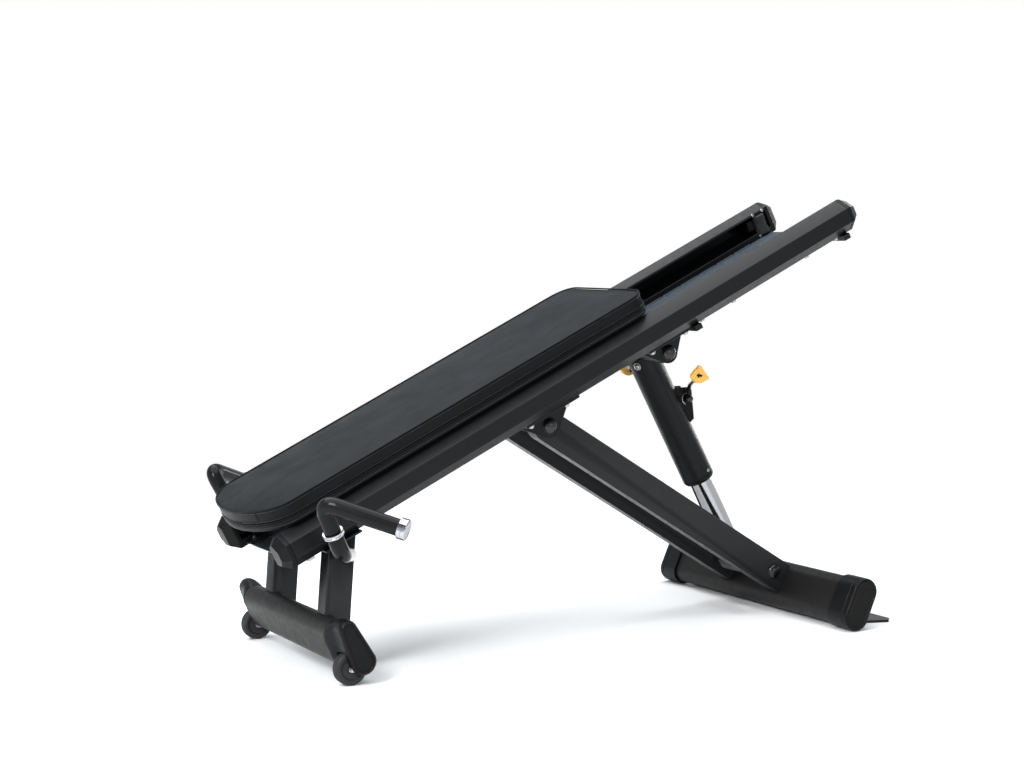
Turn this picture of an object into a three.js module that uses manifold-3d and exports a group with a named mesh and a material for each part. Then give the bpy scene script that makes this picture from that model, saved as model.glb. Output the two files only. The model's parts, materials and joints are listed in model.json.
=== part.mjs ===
// Inclined twin-rail press trainer: a padded carriage that rolls on two parallel rails, two swivelling press
// handles at the low end, and a folding rear support made of twin arms and a telescoping column.
// Millimetres, +Z up, +X towards the high end, origin on the floor under the middle of the machine.
import * as THREE from 'three';
import { mergeVertices } from 'three/addons/utils/BufferGeometryUtils.js';
import Module from 'manifold-3d';

const wasm = await Module();
wasm.setup();

// ---- driving dimensions ---------------------------------------------------------------------------
const GAP = 0.4;                       // clearance left where two separate pieces meet
const INCLINE = THREE.MathUtils.degToRad(25.33);
const CENTRE_X = 645.9225;             // from the front wheels' contact line to the middle of the machine

const RAIL = { x: -121.95, z: 280.73, length: 1745, cap: 30, wall: 4 };
const RAIL_INNER = 145, RAIL_OUTER = 217, RAIL_TOP = 42;
const LIP = 24;                        // the channel's mouth reaches this far above and below its axis

// The pad's base, seam and top are heights above the rails' centre line.
const PAD = { low: -9, high: 1107, half: 200, base: 46, seam: 66, top: 104 };
PAD.lowRound = 90;                     // how far the low end's curve runs back along each side
PAD.highCorner = 55;

const PIVOT_A = { s: 754, h: -87 };    // where the arms hang from the rails
const PIVOT_B = { s: 1127, h: -85.5 }; // where the column hangs from the rails
const PIVOT_C = { x: 1222, z: 121 };   // where the column meets the arms' lower ends
const ARM_AIM = { x: 1242, z: 111 };   // the arms' centre line points from pivot A at this
const ARM = { inner: 90, outer: 128, height: 78, wall: 3 };
const AXLE_R = 12.5;
const SHAFT_R = 17.5;                  // the lower cross shaft

const COLUMN = { outerR: 41, boreR: 37, outerEnd: 368, innerR: 29, innerWall: 3, innerStart: 180 };
const LEVER = { along: 170, back: 51.5, hubR: 9.5 };

const WHEEL = { r: 37.5, y: 294.5, width: 30 };
const FRONT_CAP = {
  top: [-12, 127], topR: 22, bottom: [23, 53], bottomR: 31, sleeve: 296, outer: 320, rim: 8,
};
const WHEEL_SLOT = { inner: 278, outer: 311 };
const WHEEL_AXLE = { inner: 269, outer: 318, r: 6, shoulderR: 8 };
const REAR_FOOT = { bottom: [1285, 36], top: [1312, 94], beamR: 29, capR: 35, capInner: 352, half: 430 };
const ARM_END = { x: 1322 };            // the arms end here, inside notches in the rear beam

const HANDLE = { elbow: [-86, -360, 421], r: 19, axis: [-0.42, -0.2, 0.885], grip: [0.73, -0.64, -0.295] };
HANDLE.post = 90;                      // the fixed post ends this far below the elbow
HANDLE.length = 183;
HANDLE.collarR = 24;
HANDLE.capR = 24;
const CORNER = 141;                    // distance from the elbow down to the post's lower bend

// ---- materials --------------------------------------------------------------------------------------
const finish = (color, roughness, metalness) =>
  new THREE.MeshStandardMaterial({ color, roughness, metalness });
const materials = {
  rail: finish(0x26282b, 0.42, 0.35),
  coat: finish(0x232527, 0.48, 0.3),
  foot: finish(0x2a2928, 0.5, 0.3),
  plastic: finish(0x18191a, 0.55, 0),
  gloss: finish(0x0b0b0c, 0.18, 0.1),
  chrome: finish(0xd8dadd, 0.1, 1),
  steel: finish(0xa9adb2, 0.3, 1),
  rubber: finish(0x141414, 0.85, 0),
  vinyl: finish(0x191c20, 0.45, 0),
  tray: finish(0x5d6972, 0.4, 0.5),
  yellow: finish(0xe0ad42, 0.45, 0),
};

// ---- helpers ----------------------------------------------------------------------------------------
const part = new THREE.Group();
const floor = new THREE.Group();       // x measured from the front wheels' contact line
floor.position.x = -CENTRE_X;
part.add(floor);
const rails = new THREE.Group();       // x along the rails from their low end, z square to them
rails.position.set(RAIL.x, 0, RAIL.z);
rails.rotation.y = -INCLINE;
floor.add(rails);

const V = (x, y, z) => new THREE.Vector3(x, y, z);

function add(group, name, geometry, material) {
  const mesh = new THREE.Mesh(geometry, material);
  mesh.name = name;
  group.add(mesh);
}

function toSolid(geometry) {
  const bare = geometry.clone();
  bare.deleteAttribute('normal');
  bare.deleteAttribute('uv');
  const merged = mergeVertices(bare, 1e-4);
  return new wasm.Manifold(new wasm.Mesh({
    numProp: 3,
    vertProperties: new Float32Array(merged.attributes.position.array),
    triVerts: new Uint32Array(merged.index.array),
  }));
}

function toGeometry(solid) {
  const mesh = solid.getMesh();
  const geometry = new THREE.BufferGeometry();
  geometry.setAttribute('position', new THREE.BufferAttribute(new Float32Array(mesh.vertProperties), 3));
  geometry.setIndex(new THREE.BufferAttribute(new Uint32Array(mesh.triVerts), 1));
  return geometry;
}

function cut(body, ...tools) {
  return toGeometry(tools.reduce((solid, tool) => solid.subtract(toSolid(tool)), toSolid(body)));
}

function join(...pieces) {
  return toGeometry(pieces.slice(1).reduce((solid, piece) => solid.add(toSolid(piece)), toSolid(pieces[0])));
}

function mirrored(geometry) {
  const copy = geometry.index ? geometry.toNonIndexed() : geometry.clone();
  const p = copy.attributes.position;
  for (let i = 0; i < p.count; i += 3) {
    const a = V(p.getX(i), -p.getY(i), p.getZ(i));
    const b = V(p.getX(i + 1), -p.getY(i + 1), p.getZ(i + 1));
    const c = V(p.getX(i + 2), -p.getY(i + 2), p.getZ(i + 2));
    p.setXYZ(i, a.x, a.y, a.z);
    p.setXYZ(i + 1, c.x, c.y, c.z);
    p.setXYZ(i + 2, b.x, b.y, b.z);
  }
  copy.deleteAttribute('normal');
  copy.deleteAttribute('uv');
  return copy;
}

const box = (x0, x1, y0, y1, z0, z1) =>
  new THREE.BoxGeometry(x1 - x0, y1 - y0, z1 - z0).translate((x0 + x1) / 2, (y0 + y1) / 2, (z0 + z1) / 2);

// A round bar from point a to point b.
function bar(a, b, radius, sides = 20) {
  const along = b.clone().sub(a);
  const turn = new THREE.Quaternion().setFromUnitVectors(V(0, 1, 0), along.clone().normalize());
  return new THREE.CylinderGeometry(radius, radius, along.length(), sides)
    .applyQuaternion(turn).translate(...a.clone().add(b).multiplyScalar(0.5).toArray());
}

const crossBar = (x, z, y0, y1, radius, sides = 20) => bar(V(x, y0, z), V(x, y1, z), radius, sides);

function outline(points) {
  return new THREE.Shape(points.map(([x, y]) => new THREE.Vector2(x, y)));
}

function extrude(shape, depth) {
  return new THREE.ExtrudeGeometry(shape, { depth, bevelEnabled: false, curveSegments: 6 });
}

// A side-view outline (x, z) given width across, from y0 to y1.
function plate(shape, y0, y1) {
  const turn = new THREE.Matrix4().makeBasis(V(1, 0, 0), V(0, 0, 1), V(0, -1, 0));
  return extrude(shape, y1 - y0).applyMatrix4(turn).translate(0, y1, 0);
}

// A cross-section (y, z) run along x, from x0 to x1.
function run(shape, x0, x1) {
  const turn = new THREE.Matrix4().makeBasis(V(0, 1, 0), V(0, 0, 1), V(1, 0, 0));
  return extrude(shape, x1 - x0).applyMatrix4(turn).translate(x0, 0, 0);
}

// The corners of a belt round two circles, the second of which may have another radius.
function beltPoints([ax, az], [bx, bz], ra, rb = ra, steps = 6) {
  const angle = Math.atan2(bz - az, bx - ax);
  const half = Math.acos((ra - rb) / Math.hypot(bx - ax, bz - az));
  const points = [];
  for (const [cx, cz, r, start, span] of [[bx, bz, rb, angle - half, 2 * half],
    [ax, az, ra, angle + half, 2 * Math.PI - 2 * half]]) {
    for (let i = 0; i <= steps; i += 1) {
      const t = start + (span * i) / steps;
      points.push([cx + r * Math.cos(t), cz + r * Math.sin(t)]);
    }
  }
  return points;
}
const capsule = (a, b, radius, steps = 6) => outline(beltPoints(a, b, radius, radius, steps));

// A closed skin through rings of equally many points, with flat ends.
function loft(rings) {
  const n = rings[0].length;
  const positions = rings.flat().flatMap((p) => p.toArray());
  const index = [];
  for (let r = 0; r + 1 < rings.length; r += 1) {
    for (let i = 0; i < n; i += 1) {
      const a = r * n + i, b = r * n + ((i + 1) % n), c = a + n, d = b + n;
      index.push(a, b, d, a, d, c);
    }
  }
  const last = (rings.length - 1) * n;
  for (let i = 1; i + 1 < n; i += 1) {
    index.push(0, i + 1, i, last, last + i, last + i + 1);
  }
  const geometry = new THREE.BufferGeometry();
  geometry.setAttribute('position', new THREE.Float32BufferAttribute(positions, 3));
  geometry.setIndex(index);
  return geometry;
}

// A round tube or rod through points, with each inner corner rounded.
function sweep(points, radius, bend, steps = 20, sides = 12) {
  const path = new THREE.CurvePath();
  let from = points[0];
  for (let i = 1; i + 1 < points.length; i += 1) {
    const back = points[i - 1].clone().sub(points[i]).setLength(bend).add(points[i]);
    const ahead = points[i + 1].clone().sub(points[i]).setLength(bend).add(points[i]);
    path.add(new THREE.LineCurve3(from, back));
    path.add(new THREE.QuadraticBezierCurve3(back, points[i], ahead));
    from = ahead;
  }
  path.add(new THREE.LineCurve3(from, points[points.length - 1]));
  const circle = Array.from({ length: sides }, (_, i) => {
    const t = (2 * Math.PI * i) / sides;
    return [radius * Math.cos(t), radius * Math.sin(t)];
  });
  return new THREE.ExtrudeGeometry(outline(circle), { extrudePath: path, steps, bevelEnabled: false });
}

function pair(group, name, geometry, material) {
  add(group, `${name}_near`, geometry, material);
  add(group, `${name}_far`, mirrored(geometry), material);
}

// ---- rails ------------------------------------------------------------------------------------------
// The rails' cross-section, as distance from the middle plane and height about the rails' centre line.
const RAIL_FACES = [[RAIL_INNER, 30], [174, RAIL_TOP], [182, RAIL_TOP], [RAIL_OUTER, 20], [RAIL_OUTER, -17],
  [190, -RAIL_TOP], [RAIL_INNER, -RAIL_TOP]];
const near = (points) => points.map(([y, z]) => [-y, z]);

function railChannel() {
  const w = RAIL.wall;
  const inner = [[RAIL_INNER + w, -LIP], [RAIL_INNER + w, -RAIL_TOP + w], [188, -RAIL_TOP + w],
    [RAIL_OUTER - w, -15.3], [RAIL_OUTER - w, 17.7], [180.8, RAIL_TOP - w], [174.8, RAIL_TOP - w],
    [RAIL_INNER + w, 27.3], [RAIL_INNER + w, LIP], [RAIL_INNER, LIP]];
  const section = [...RAIL_FACES, [RAIL_INNER, -LIP], ...inner];
  return run(outline(near(section)), RAIL.cap + GAP, RAIL.length - RAIL.cap - GAP);
}
pair(rails, 'rail', railChannel(), materials.rail);

// Faceted end caps, each with a plug that fits inside the rail.
function railCap() {
  const centre = [181, 0];
  const ring = (s, shrink) => near(RAIL_FACES).map(([y, z]) =>
    V(s, -centre[0] + (y + centre[0]) * shrink, z * shrink));
  const shell = loft([ring(RAIL.cap, 1), ring(20, 1), ring(0, 0.62)].map((r) => r.reverse()));
  return join(shell, box(RAIL.cap - 4, RAIL.cap + 24, -207, -153, -13, 14));
}
const turnEnd = (geometry) => geometry.clone().rotateZ(Math.PI).translate(RAIL.length, 0, 0);
pair(rails, 'low_end_cap', railCap(), materials.plastic);
const stop = box(RAIL.length - 92, RAIL.length - RAIL.cap - 20, -200, -156, -13, 14);
pair(rails, 'top_end_cap', join(mirrored(turnEnd(railCap())), stop), materials.plastic);

// Bars and plates that tie the two rails together.
const LEG_PLATE = { s0: 100, s1: 198, thick: 5 };
const BAR_TOP = -RAIL_TOP - GAP;
add(rails, 'leg_head_plate',
  box(LEG_PLATE.s0, LEG_PLATE.s1, -205, 205, BAR_TOP - LEG_PLATE.thick, BAR_TOP), materials.coat);
const TIE_BARS = [1199, 1696];
const TIE = { half: 10, depth: 14 };
const tieBar = (s) => join(box(s - TIE.half, s + TIE.half, -200, 200, BAR_TOP - TIE.depth, BAR_TOP),
  box(s - TIE.half, s + TIE.half, -144, 144, BAR_TOP - TIE.depth + 2, -RAIL_TOP + 1));
const trayFloor = box(40, 1708, -144.4, 144.4, -RAIL_TOP, -RAIL_TOP + 3.2);
add(rails, 'rail_tray', join(trayFloor, ...TIE_BARS.map(tieBar)), materials.tray);

// ---- front legs and foot ----------------------------------------------------------------------------
const LEG_LEAN = 13 / 136;
const legX = (z) => -14 + (z - 136) * LEG_LEAN;
const LEG = { width: 64, y0: -190, y1: -143, wall: 3 };
const FRONT_BEAM = { top: [-13, 108], bottom: [6, 67], topR: 31.9, r: 32, inner: 256 };

function frontLeg() {
  const zLow = 60, zHigh = 380;
  const side = (inset) => outline([[legX(zLow) + inset, zLow], [legX(zLow) + LEG.width - inset, zLow],
    [legX(zHigh) + LEG.width - inset, zHigh], [legX(zHigh) + inset, zHigh]]);
  const tube = cut(plate(side(0), LEG.y0, LEG.y1), plate(side(LEG.wall), LEG.y0 + LEG.wall, LEG.y1 - LEG.wall)
    .scale(1, 1, 1.2).translate(0, 0, -20));
  const above = box(-400, 800, -400, 400, BAR_TOP - LEG_PLATE.thick - GAP, 400)
    .rotateY(-INCLINE).translate(RAIL.x, 0, RAIL.z);
  const below = plate(capsule(FRONT_BEAM.top, FRONT_BEAM.bottom, FRONT_BEAM.r + GAP), -200, 0);
  const under = box(-200, 200, -300, 0, -10, FRONT_BEAM.top[1]);
  return cut(tube, above, below, under);
}
pair(floor, 'front_leg', frontLeg(), materials.coat);

const beamTube = (shape, bore, y) => cut(plate(shape, -y, y), plate(bore, -y - 1, y + 1));
add(floor, 'front_foot_beam', beamTube(
  capsule(FRONT_BEAM.top, FRONT_BEAM.bottom, FRONT_BEAM.r),
  capsule(FRONT_BEAM.top, FRONT_BEAM.bottom, FRONT_BEAM.r - 3), FRONT_BEAM.inner), materials.foot);

// Moulded foot ends: a teardrop cheek with a bevelled rim, a slot for the wheel, and a hole for its axle.
function frontCap() {
  const at = (y, points) => points.map(([x, z]) => V(x, y, z));
  const ring = (y, inset) => at(y, beltPoints(FRONT_CAP.top, FRONT_CAP.bottom, FRONT_CAP.topR - inset,
    FRONT_CAP.bottomR - inset));
  const cheek = loft([
    at(-FRONT_BEAM.inner - GAP, beltPoints(FRONT_BEAM.top, FRONT_BEAM.bottom, FRONT_BEAM.topR, FRONT_BEAM.r)),
    ring(-FRONT_CAP.sleeve, 0), ring(-FRONT_CAP.outer, 0), ring(-FRONT_CAP.outer - FRONT_CAP.rim, 7)]);
  const slot = crossBar(0, WHEEL.r, -WHEEL_SLOT.outer, -WHEEL_SLOT.inner, WHEEL.r + 4, 28);
  const axleHole = crossBar(0, WHEEL.r, -WHEEL_AXLE.outer - 2, -WHEEL_AXLE.inner + 2, WHEEL_AXLE.r + GAP, 16);
  return cut(cheek, slot, axleHole);
}
pair(floor, 'front_foot_cap', frontCap(), materials.plastic);

const wheelProfile = [[8.4, -15], [31, -15], [36, -12], [WHEEL.r, -6], [WHEEL.r, 6], [36, 12], [31, 15],
  [8.4, 15], [8.4, -15]];
const wheel = new THREE.LatheGeometry(wheelProfile.map(([r, y]) => new THREE.Vector2(r, y)), 28)
  .translate(0, -WHEEL.y, WHEEL.r);
pair(floor, 'front_wheel', wheel, materials.rubber);
const axleShoulder = crossBar(0, WHEEL.r, -WHEEL.y - WHEEL.width / 2, -WHEEL.y + WHEEL.width / 2,
  WHEEL_AXLE.shoulderR, 16);
pair(floor, 'wheel_axle', join(
  crossBar(0, WHEEL.r, -WHEEL_AXLE.outer, -WHEEL_AXLE.inner, WHEEL_AXLE.r, 16),
  axleShoulder), materials.steel);

// ---- handles ----------------------------------------------------------------------------------------
const elbow = V(...HANDLE.elbow);
const postAxis = V(...HANDLE.axis).normalize();
const gripAxis = V(...HANDLE.grip).normalize();
const onPost = (t) => postAxis.clone().multiplyScalar(-t).add(elbow);
const onGrip = (t) => gripAxis.clone().multiplyScalar(t).add(elbow);
const legFace = V(46, LEG.y0 + 6, 271);
const SPIGOT_R = 12;

const post = sweep([legFace, onPost(CORNER), onPost(HANDLE.post)], HANDLE.r, 42);
pair(floor, 'handle_post', cut(post,
  bar(onPost(HANDLE.post + 27), onPost(HANDLE.post - 2), SPIGOT_R + GAP),
  box(-200, 300, LEG.y0 - GAP, 0, 0, 600)), materials.gloss);
pair(floor, 'swivel_pin', join(bar(onPost(HANDLE.post - GAP), onPost(HANDLE.post - 12), HANDLE.collarR, 24),
  bar(onPost(HANDLE.post + 26), onPost(HANDLE.post - 29), SPIGOT_R)), materials.chrome);
const grip = sweep([onPost(HANDLE.post - 12 - GAP), elbow, onGrip(HANDLE.length)], HANDLE.r, 40);
pair(floor, 'press_handle', cut(grip,
  bar(onPost(HANDLE.post + 5), onPost(HANDLE.post - 30), SPIGOT_R + GAP)), materials.gloss);
pair(floor, 'handle_cap',
  bar(onGrip(HANDLE.length + GAP), onGrip(HANDLE.length + 20), HANDLE.capR, 20), materials.chrome);

// ---- brackets and axles under the rails --------------------------------------------------------------
const BRACKET = { y0: -137, y1: -131, flange: 188, thick: 6 };

function bracket({ s, h }, back, ahead, tipR) {
  const top = BAR_TOP - BRACKET.thick;
  const points = [[s + ahead, top + 2], [s - back, top + 2], [s - back, top - 3]];
  for (let i = 0; i <= 8; i += 1) {
    const t = Math.PI * (1.2 + (0.65 * i) / 8);
    points.push([s + tipR * Math.cos(t), h + tipR * Math.sin(t)]);
  }
  points.push([s + ahead, top - 3]);
  const web = plate(outline(points), BRACKET.y0, BRACKET.y1);
  const flange = box(s - back, s + ahead, -BRACKET.flange, BRACKET.y1, top, BAR_TOP);
  return cut(join(web, flange), crossBar(s, h, BRACKET.y0 - 2, BRACKET.y1 + 2, AXLE_R + GAP, 24));
}
pair(rails, 'arm_bracket', bracket(PIVOT_A, 78, 80, 31), materials.coat);
pair(rails, 'column_bracket', bracket(PIVOT_B, 74, 62, 27), materials.coat);

// A pivot pin from bracket to bracket, with a low domed head at each end.
function pivotPin({ s, h }) {
  const dome = [[0, -14], [9, -12.5], [16, -9], [19.5, -4.5], [20, 0], [0, 0]]
    .map(([r, d]) => new THREE.Vector2(r, d));
  const head = new THREE.LatheGeometry(dome, 18).translate(s, BRACKET.y0 - GAP, h);
  return join(crossBar(s, h, BRACKET.y0 - 2, -BRACKET.y0 + 2, AXLE_R, 24), head, mirrored(head));
}
add(rails, 'arm_pivot_pin', pivotPin(PIVOT_A), materials.plastic);
add(rails, 'column_pivot_pin', pivotPin(PIVOT_B), materials.plastic);

// ---- arms and rear foot -------------------------------------------------------------------------------
const railPoint = ({ s, h }) => V(RAIL.x + s * Math.cos(INCLINE) - h * Math.sin(INCLINE), 0,
  RAIL.z + s * Math.sin(INCLINE) + h * Math.cos(INCLINE));
const A = railPoint(PIVOT_A);
const B = railPoint(PIVOT_B);
const C = V(PIVOT_C.x, 0, PIVOT_C.z);

// A group whose x axis runs from one pivot towards another, in the plane of the rails' side.
function lever(from, to) {
  const group = new THREE.Group();
  group.position.copy(from);
  group.rotation.y = -Math.atan2(to.z - from.z, to.x - from.x);
  floor.add(group);
  return group;
}
const arm = lever(A, V(ARM_AIM.x, 0, ARM_AIM.z));
const half = ARM.height / 2;

const footShape = (r) => capsule(REAR_FOOT.bottom, REAR_FOOT.top, r, 10);
// The same floor-frame solid, seen from the arm's own frame.
function intoArm(geometry) {
  arm.updateMatrix();
  return geometry.applyMatrix4(arm.matrix.clone().invert());
}

const ARM_REACH = 880;                 // longer than an arm; its end is cut square to the floor
function armTube() {
  const end = ARM_REACH;
  const section = (inset, x0) => {
    const shape = new THREE.Shape();
    shape.moveTo(end, -half + inset);
    shape.lineTo(end, half - inset);
    shape.lineTo(x0, half - inset);
    shape.absarc(x0, 0, half - inset, Math.PI / 2, (3 * Math.PI) / 2, false);
    shape.lineTo(end, -half + inset);
    return shape;
  };
  const skin = plate(section(0, 0), -ARM.outer, -ARM.inner);
  const hollow = plate(section(ARM.wall, 60), -ARM.outer + ARM.wall, -ARM.inner - ARM.wall);
  const beyond = intoArm(box(ARM_END.x, 1700, -200, 200, -200, 400));
  const bore = crossBar(0, 0, -200, 0, AXLE_R + GAP, 24);
  return cut(skin, hollow, beyond, bore);
}
pair(arm, 'support_arm', armTube(), materials.coat);

// The rear beam, notched where the arms' ends pass through it.
function rearBeam() {
  const tube = beamTube(footShape(REAR_FOOT.beamR), footShape(REAR_FOOT.beamR - 3), REAR_FOOT.capInner);
  const above = half + GAP;
  const notch = plate(outline([[500, -above], [ARM_REACH, -above], [ARM_REACH, above], [500, above]]),
    -ARM.outer - GAP, -ARM.inner + GAP).applyMatrix4(arm.matrix);
  const short = cut(notch, box(ARM_END.x + GAP, 1700, -200, 200, -200, 400));
  return cut(tube, short, mirrored(short));
}
add(floor, 'rear_foot_beam', rearBeam(), materials.foot);

function rearCap() {
  const ring = (y, r) => footShape(r).getPoints(8).slice(0, 22).map((p) => V(p.x, y, p.y));
  const { capInner, capR, half: end } = REAR_FOOT;
  const shell = loft([ring(-capInner - GAP, capR), ring(-end + 8, capR), ring(-end + 2, capR - 3),
    ring(-end, capR - 8)]);
  const plug = plate(footShape(REAR_FOOT.beamR - 3 - GAP), -REAR_FOOT.capInner - 2, -REAR_FOOT.capInner + 24);
  return join(shell, plug);
}
pair(floor, 'rear_foot_cap', rearCap(), materials.plastic);

// The floor plate behind the rear foot.
const FLOOR_PLATE = [[1299, -330], [1423, -374], [1441, -354], [1441, 354], [1423, 374], [1299, 330]];
const footPlate = extrude(outline(FLOOR_PLATE), 6);
add(floor, 'rear_foot_plate', footPlate, materials.coat);

// ---- telescoping column ---------------------------------------------------------------------------------
const column = lever(B, C);
const columnLength = B.distanceTo(C);
const rod = (x0, x1, radius, sides = 32) => bar(V(x0, 0, 0), V(x1, 0, 0), radius, sides);
// In this frame x runs down the column, and +z is the side that faces away from the arms.
const PIN_X = 205;                     // where the lock pin enters the outer tube

function outerTube() {
  const head = crossBar(0, 0, -124, 124, 27, 24);
  const tube = rod(12, COLUMN.outerEnd, COLUMN.outerR);
  const bore = rod(46, COLUMN.outerEnd + 5, COLUMN.boreR);
  const pivot = crossBar(0, 0, -130, 130, AXLE_R + GAP, 24);
  const pinHole = bar(V(PIN_X, 0, 20), V(PIN_X, 0, 60), 8 + GAP, 16);
  return cut(join(head, tube), bore, pivot, pinHole);
}
add(column, 'column_outer_tube', outerTube(), materials.coat);
add(column, 'column_collar', cut(rod(COLUMN.outerEnd + GAP, COLUMN.outerEnd + 16, COLUMN.outerR - 1),
  rod(COLUMN.outerEnd - 5, COLUMN.outerEnd + 20, COLUMN.innerR + GAP)), materials.plastic);

const eyeStart = columnLength - 70;
add(column, 'column_inner_tube', cut(rod(COLUMN.innerStart, columnLength - 28, COLUMN.innerR),
  rod(COLUMN.innerStart - 5, columnLength, COLUMN.innerR - COLUMN.innerWall),
  box(PIN_X - 32, PIN_X + 140, -9, 9, 10, 40)), materials.chrome);
const eye = join(rod(eyeStart, columnLength, COLUMN.innerR - COLUMN.innerWall - GAP),
  crossBar(columnLength, 0, -44, 44, 26, 24));
add(column, 'column_eye', cut(eye, crossBar(columnLength, 0, -50, 50, SHAFT_R + GAP, 24)), materials.coat);
add(column, 'lower_cross_shaft',
  crossBar(columnLength, 0, -ARM.inner + 1.5, ARM.inner - 1.5, SHAFT_R, 24), materials.chrome);

add(column, 'gas_spring_cylinder', cut(rod(48, 345, 13, 20), rod(60, 350, 10, 20)), materials.gloss);
add(column, 'gas_spring_rod', rod(245, eyeStart - GAP, 5, 16), materials.chrome);

// ---- incline release: bracket, sprung lever with two paddles, lock pin ------------------------------
const L = V(LEVER.along, 0, LEVER.back);

function leverBracket() {
  const cheek = outline([[L.x - 44, 30], [L.x - 21, 74], [L.x - 13, 74], [PIN_X + 21, 46], [PIN_X + 25, 30]]);
  const around = rod(100, 300, COLUMN.outerR + GAP);
  const hole = crossBar(L.x, L.z, -60, 60, 6 + GAP, 16);
  const web = box(PIN_X + 14, PIN_X + 19, -24, 24, 34, 48);
  return cut(join(plate(cheek, -26, -21), plate(cheek, 21, 26), web), around, hole);
}
add(column, 'lever_bracket', leverBracket(), materials.coat);

function leverYoke() {
  const hub = crossBar(L.x, L.z, -20.4, 20.4, LEVER.hubR, 20);
  const pin = crossBar(L.x, L.z, -37, 37, 6, 16);
  const rods = [-1, 1].map((side) => sweep([V(L.x, 33 * side, L.z), V(L.x - 32, 41 * side, L.z + 13),
    V(88, 160.5 * side, 32)], 5, 12, 8, 8));
  return join(hub, pin, ...rods);
}
add(column, 'release_lever', leverYoke(), materials.coat);

function paddle() {
  const shape = new THREE.Shape();
  const corners = [[60, 47, 4], [71, 7, 15], [100, 18, 15], [104, 55, 5]];   // the last is the rounding
  corners.forEach(([x, z, round], i) => {
    const [nx, nz] = corners[(i + 1) % corners.length];
    const [px, pz] = corners[(i + corners.length - 1) % corners.length];
    const from = V(px - x, pz - z, 0).setLength(round), to = V(nx - x, nz - z, 0).setLength(round);
    if (i === 0) shape.moveTo(x + from.x, z + from.y);
    else shape.lineTo(x + from.x, z + from.y);
    shape.quadraticCurveTo(x, z, x + to.x, z + to.y);
  });
  return plate(shape, -174, -164);
}
pair(column, 'lever_paddle', paddle(), materials.yellow);
add(column, 'lock_pin', join(bar(V(PIN_X, 0, 31.5), V(PIN_X, 0, 52), 8, 16),
  bar(V(PIN_X, 0, 47), V(PIN_X, 0, 52), 11, 16)), materials.steel);

// ---- carriage: cushion, board, frame and rollers -------------------------------------------------------
const ROLLER = { r: 30, y0: 153, y1: 177, h: -6.6, stations: [150, 1000] };

// The pad seen from above: a half-oval low end and rounded corners at the high end.
function padOutline() {
  const shape = new THREE.Shape();
  const { half: y, low, high, lowRound, highCorner: r } = PAD;
  shape.moveTo(low + lowRound, -y);
  shape.lineTo(high - r, -y);
  shape.absarc(high - r, -y + r, r, -Math.PI / 2, 0, false);
  shape.absarc(high - r, y - r, r, 0, Math.PI / 2, false);
  shape.lineTo(low + lowRound, y);
  for (let i = 1; i < 24; i += 1) {
    const t = Math.PI / 2 + (Math.PI * i) / 24;
    shape.lineTo(low + lowRound + lowRound * Math.cos(t), y * Math.sin(t));
  }
  shape.closePath();
  return shape;
}
const layer = (h0, h1) => extrude(padOutline(), h1 - h0).translate(0, 0, h0);
add(rails, 'pad_cushion', layer(PAD.seam, PAD.top), materials.vinyl);
add(rails, 'pad_base', layer(PAD.base, PAD.seam - GAP), materials.vinyl);

function carriageFrame() {
  const hangers = ROLLER.stations.flatMap((s) => [-1, 1].map((side) =>
    box(s - 24, s + 24, ...(side < 0 ? [-141, -133] : [133, 141]), -20, 45)));
  const beams = ROLLER.stations.map((s) => box(s - 24, s + 24, -141, 141, 39, 45));
  const runners = [-1, 1].map((side) => box(30, 1080, ...(side < 0 ? [-120, -80] : [80, 120]), 39, 45));
  const holes = ROLLER.stations.map((s) => crossBar(s, ROLLER.h, -150, 150, 8 + GAP, 16));
  return cut(join(...beams, ...runners, ...hangers), ...holes);
}
add(rails, 'carriage_frame', carriageFrame(), materials.coat);
const rollerProfile = [[8.4, -12], [26, -12], [ROLLER.r, -8], [ROLLER.r, 8], [26, 12], [8.4, 12], [8.4, -12]];
const roller = new THREE.LatheGeometry(rollerProfile.map(([r, y]) => new THREE.Vector2(r, y)), 20);
ROLLER.stations.forEach((s, i) => {
  const place = ['low', 'high'][i];
  add(rails, `${place}_roller_axle`, crossBar(s, ROLLER.h, -181, 181, 8, 16), materials.steel);
  pair(rails, `${place}_roller`, roller.clone().translate(s, -165, ROLLER.h), materials.plastic);
});

export default part;
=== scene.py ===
"""Looks for the inclined twin-rail press trainer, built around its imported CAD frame. Metres, +Z up."""
import json
import math

import bmesh
import bpy
from mathutils import Matrix, Vector, noise

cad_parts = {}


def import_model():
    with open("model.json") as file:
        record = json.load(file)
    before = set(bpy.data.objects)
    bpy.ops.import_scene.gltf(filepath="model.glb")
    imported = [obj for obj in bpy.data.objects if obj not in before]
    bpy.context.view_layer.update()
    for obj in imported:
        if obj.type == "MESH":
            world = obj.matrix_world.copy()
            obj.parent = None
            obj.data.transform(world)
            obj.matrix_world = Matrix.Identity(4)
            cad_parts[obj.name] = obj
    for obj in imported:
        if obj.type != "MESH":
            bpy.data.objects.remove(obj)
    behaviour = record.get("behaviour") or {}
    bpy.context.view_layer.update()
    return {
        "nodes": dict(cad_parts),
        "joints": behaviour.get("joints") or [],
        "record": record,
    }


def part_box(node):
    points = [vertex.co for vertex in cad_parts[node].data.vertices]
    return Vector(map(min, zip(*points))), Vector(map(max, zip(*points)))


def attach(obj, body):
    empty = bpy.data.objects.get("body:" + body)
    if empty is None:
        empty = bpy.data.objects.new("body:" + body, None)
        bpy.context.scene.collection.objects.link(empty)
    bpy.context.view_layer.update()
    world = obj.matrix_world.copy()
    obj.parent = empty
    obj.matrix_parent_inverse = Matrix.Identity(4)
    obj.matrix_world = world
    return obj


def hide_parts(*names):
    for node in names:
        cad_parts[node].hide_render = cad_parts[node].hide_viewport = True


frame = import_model()
NODES = frame["nodes"]
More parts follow.
